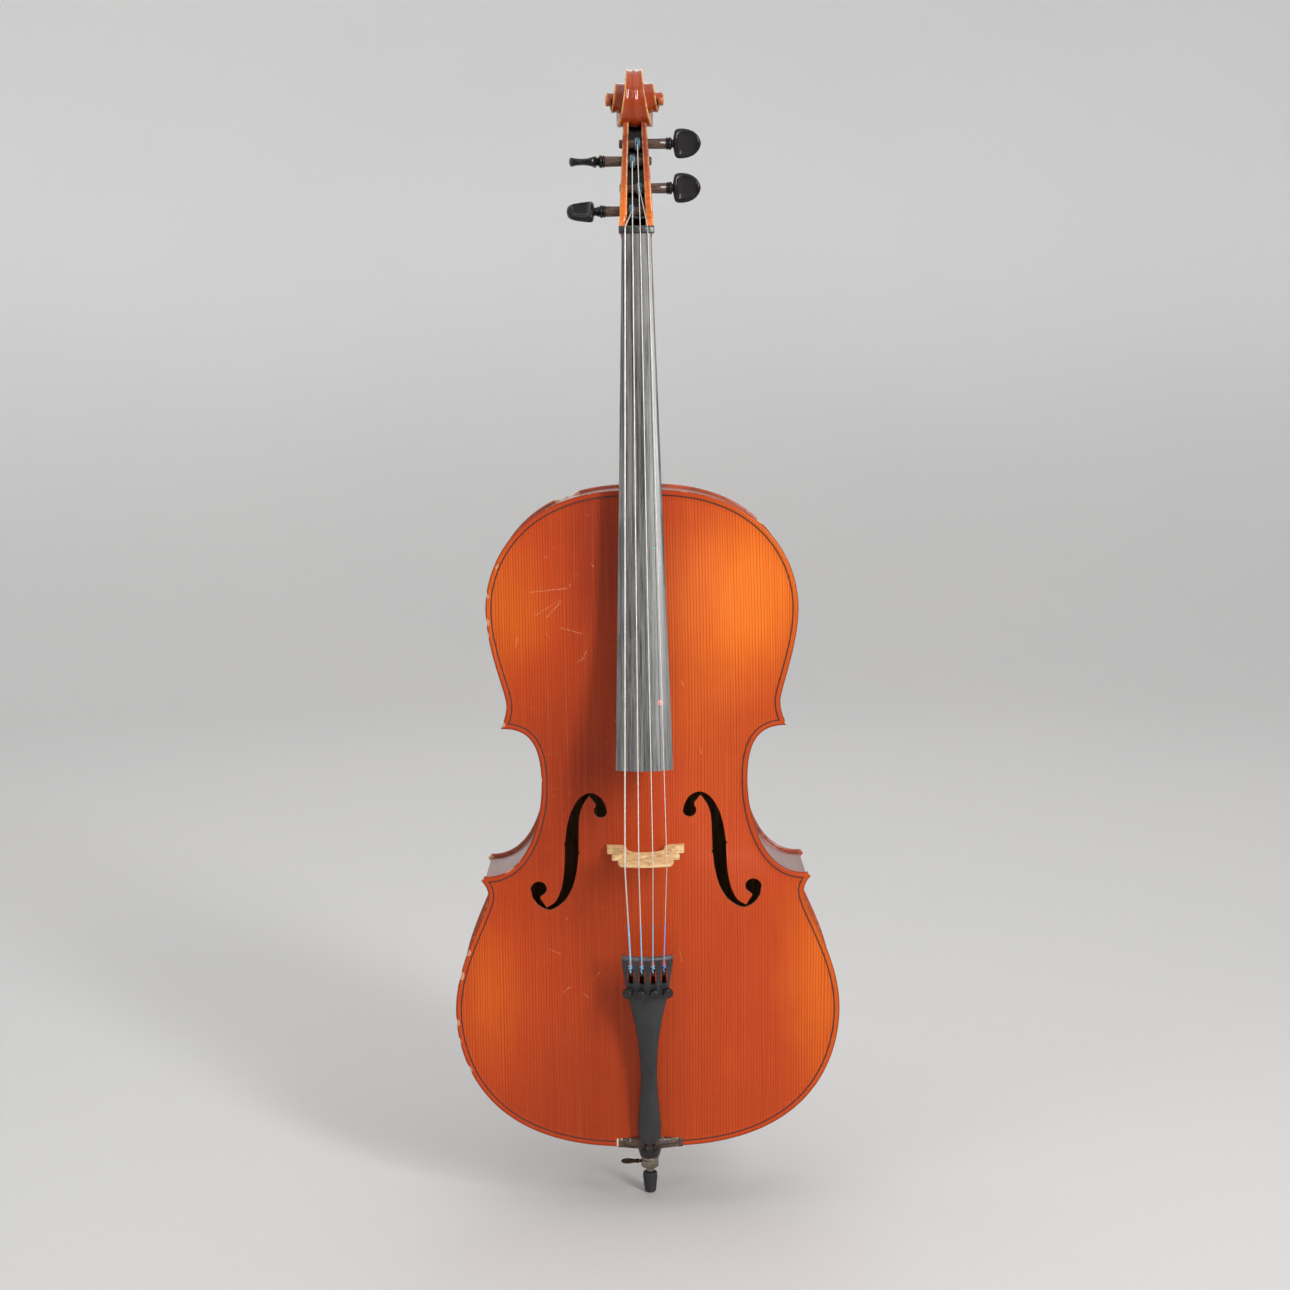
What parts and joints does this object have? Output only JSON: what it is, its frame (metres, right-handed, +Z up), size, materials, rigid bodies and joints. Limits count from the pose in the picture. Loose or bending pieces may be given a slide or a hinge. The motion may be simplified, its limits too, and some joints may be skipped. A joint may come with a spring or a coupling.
{
  "type": "cello",
  "caption": "Full-size cello with arched body, f-holes, scroll and pegbox, turning pegs, bridge, strings, tailpiece with fine tuners, and a sliding endpin.",
  "frame": {"origin": "centre of the flat end of the rubber endpin tip, with the endpin pushed in", "axes": "+Z up along the instrument's long axis towards the scroll; the belly faces -Y; +X is the treble side"},
  "size_m": [0.438, 0.253, 1.295],
  "materials": {
    "belly_spruce": "red-brown glossy oil varnish over straight-grained spruce, lighter at the edges, worn and lightly scratched",
    "back_maple": "orange-brown glossy varnish over flamed maple",
    "rib_maple": "orange-brown glossy varnish over flamed maple",
    "neck_maple": "glossy orange-brown varnish on the head, thin and pale on the neck",
    "inner_spruce": "bare, darkened spruce",
    "ebony": "satin ebony worn grey along the grain",
    "peg_wood": "polished dark rosewood",
    "bridge_maple": "bare flecked maple",
    "string_steel": "fine flat-wound steel",
    "string_silk": "light blue thread wrap",
    "tailpiece_composite": "matte black composite",
    "tuner_metal": "black plated metal",
    "endpin_steel": "turned steel, lightly tarnished",
    "thumbscrew_metal": "dark tarnished steel",
    "tail_cord": "black braided cord",
    "rubber": "worn black rubber"
  },
  "bodies": {
    "instrument": {"top_plate": "belly_spruce", "back_plate": "back_maple", "lower_rib_bass": "rib_maple", "lower_rib_treble": "rib_maple", "c_rib_bass": "rib_maple", "c_rib_treble": "rib_maple", "upper_rib_bass": "rib_maple", "upper_rib_treble": "rib_maple", "lower_corner_block_bass": "inner_spruce", "lower_corner_block_treble": "inner_spruce", "upper_corner_block_bass": "inner_spruce", "upper_corner_block_treble": "inner_spruce", "bottom_block": "inner_spruce", "top_block": "inner_spruce", "lower_lining_front_bass": "inner_spruce", "lower_lining_front_treble": "inner_spruce", "lower_lining_back_bass": "inner_spruce", "lower_lining_back_treble": "inner_spruce", "upper_lining_front_bass": "inner_spruce", "upper_lining_front_treble": "inner_spruce", "upper_lining_back_bass": "inner_spruce", "upper_lining_back_treble": "inner_spruce", "bass_bar": "inner_spruce", "sound_post": "inner_spruce", "neck_scroll": "neck_maple", "fingerboard": "ebony", "nut": "ebony", "saddle": "ebony", "bridge": "bridge_maple", "tailpiece": "tailpiece_composite", "tail_cord": "tail_cord", "endpin_plug": "peg_wood", "endpin_collar": "endpin_steel", "string_C": "string_steel", "string_G": "string_steel", "string_D": "string_steel", "string_A": "string_steel"},
    "peg_C_body": {"peg_C": "peg_wood", "string_winding_C": "string_silk"},
    "peg_G_body": {"peg_G": "peg_wood", "string_winding_G": "string_silk"},
    "peg_D_body": {"peg_D": "peg_wood", "string_winding_D": "string_silk"},
    "peg_A_body": {"peg_A": "peg_wood", "string_winding_A": "string_silk"},
    "tuner_screw_C_body": {"tuner_screw_C": "tuner_metal"},
    "tuner_knob_C_body": {"tuner_knob_C": "tuner_metal"},
    "tuner_lever_C_body": {"tuner_lever_C": "tuner_metal"},
    "tuner_screw_G_body": {"tuner_screw_G": "tuner_metal"},
    "tuner_knob_G_body": {"tuner_knob_G": "tuner_metal"},
    "tuner_lever_G_body": {"tuner_lever_G": "tuner_metal"},
    "tuner_screw_D_body": {"tuner_screw_D": "tuner_metal"},
    "tuner_knob_D_body": {"tuner_knob_D": "tuner_metal"},
    "tuner_lever_D_body": {"tuner_lever_D": "tuner_metal"},
    "tuner_screw_A_body": {"tuner_screw_A": "tuner_metal"},
    "tuner_knob_A_body": {"tuner_knob_A": "tuner_metal"},
    "tuner_lever_A_body": {"tuner_lever_A": "tuner_metal"},
    "endpin_rod_body": {"endpin_rod": "endpin_steel"},
    "rubber_tip_body": {"rubber_tip": "rubber"},
    "thumbscrew_body": {"endpin_thumbscrew": "thumbscrew_metal"}
  },
  "joints": [
    {"name": "peg_C_turn", "type": "hinge", "parent": "instrument", "child": "peg_C_body", "pos_m": [0, -0.018, 1.138], "axis": [1, 0, 0], "continuous": true},
    {"name": "peg_G_turn", "type": "hinge", "parent": "instrument", "child": "peg_G_body", "pos_m": [0, -0.009, 1.193], "axis": [1, 0, 0], "continuous": true},
    {"name": "peg_D_turn", "type": "hinge", "parent": "instrument", "child": "peg_D_body", "pos_m": [0, -0.005, 1.212], "axis": [1, 0, 0], "continuous": true},
    {"name": "peg_A_turn", "type": "hinge", "parent": "instrument", "child": "peg_A_body", "pos_m": [0, -0.013, 1.163], "axis": [1, 0, 0], "continuous": true},
    {"name": "tuner_screw_C_travel", "type": "slide", "parent": "instrument", "child": "tuner_screw_C_body", "axis": [-0.3493, -0.9046, -0.2443], "range_m": [0, 0.003]},
    {"name": "tuner_knob_C_turn", "type": "hinge", "parent": "tuner_screw_C_body", "child": "tuner_knob_C_body", "pos_m": [-0.0205, -0.12472, 0.28], "axis": [-0.3493, -0.9046, -0.2443], "range_deg": [0, 2160]},
    {"name": "tuner_lever_C_tilt", "type": "hinge", "parent": "instrument", "child": "tuner_lever_C_body", "pos_m": [-0.0185, -0.12615, 0.30727], "axis": [-1, 0, 0], "range_deg": [0, 6]},
    {"name": "tuner_screw_G_travel", "type": "slide", "parent": "instrument", "child": "tuner_screw_G_body", "axis": [-0.1263, -0.9577, -0.2586], "range_m": [0, 0.003]},
    {"name": "tuner_knob_G_turn", "type": "hinge", "parent": "tuner_screw_G_body", "child": "tuner_knob_G_body", "pos_m": [-0.007, -0.12911, 0.28], "axis": [-0.1263, -0.9577, -0.2586], "range_deg": [0, 2160]},
    {"name": "tuner_lever_G_tilt", "type": "hinge", "parent": "instrument", "child": "tuner_lever_G_body", "pos_m": [-0.0062, -0.12938, 0.30727], "axis": [-1, 0, 0], "range_deg": [0, 6]},
    {"name": "tuner_screw_D_travel", "type": "slide", "parent": "instrument", "child": "tuner_screw_D_body", "axis": [0.1263, -0.9577, -0.2586], "range_m": [0, 0.003]},
    {"name": "tuner_knob_D_turn", "type": "hinge", "parent": "tuner_screw_D_body", "child": "tuner_knob_D_body", "pos_m": [0.007, -0.12911, 0.28], "axis": [0.1263, -0.9577, -0.2586], "range_deg": [0, 2160]},
    {"name": "tuner_lever_D_tilt", "type": "hinge", "parent": "instrument", "child": "tuner_lever_D_body", "pos_m": [0.0062, -0.12938, 0.30727], "axis": [-1, 0, 0], "range_deg": [0, 6]},
    {"name": "tuner_screw_A_travel", "type": "slide", "parent": "instrument", "child": "tuner_screw_A_body", "axis": [0.3493, -0.9046, -0.2443], "range_m": [0, 0.003]},
    {"name": "tuner_knob_A_turn", "type": "hinge", "parent": "tuner_screw_A_body", "child": "tuner_knob_A_body", "pos_m": [0.0205, -0.12472, 0.28], "axis": [0.3493, -0.9046, -0.2443], "range_deg": [0, 2160]},
    {"name": "tuner_lever_A_tilt", "type": "hinge", "parent": "instrument", "child": "tuner_lever_A_body", "pos_m": [0.0185, -0.12615, 0.30727], "axis": [-1, 0, 0], "range_deg": [0, 6]},
    {"name": "endpin_slide", "type": "slide", "parent": "instrument", "child": "endpin_rod_body", "axis": [0, 0, -1], "range_m": [0, 0.33]},
    {"name": "rubber_tip_pull", "type": "slide", "parent": "endpin_rod_body", "child": "rubber_tip_body", "axis": [0, 0, -1], "range_m": [0, 0.02]},
    {"name": "thumbscrew_turn", "type": "hinge", "parent": "instrument", "child": "thumbscrew_body", "pos_m": [0, 0, 0.0375], "axis": [-1, 0, 0], "range_deg": [0, 360]}
  ],
  "couplings": [
    {"joint": "tuner_screw_C_travel", "follows": "tuner_knob_C_turn", "m_per_rad": 0.00007957},
    {"joint": "tuner_lever_C_tilt", "follows": "tuner_knob_C_turn", "ratio": 0.0027775},
    {"joint": "tuner_screw_G_travel", "follows": "tuner_knob_G_turn", "m_per_rad": 0.00007957},
    {"joint": "tuner_lever_G_tilt", "follows": "tuner_knob_G_turn", "ratio": 0.0027775},
    {"joint": "tuner_screw_D_travel", "follows": "tuner_knob_D_turn", "m_per_rad": 0.00007957},
    {"joint": "tuner_lever_D_tilt", "follows": "tuner_knob_D_turn", "ratio": 0.0027775},
    {"joint": "tuner_screw_A_travel", "follows": "tuner_knob_A_turn", "m_per_rad": 0.00007957},
    {"joint": "tuner_lever_A_tilt", "follows": "tuner_knob_A_turn", "ratio": 0.0027775}
  ]
}
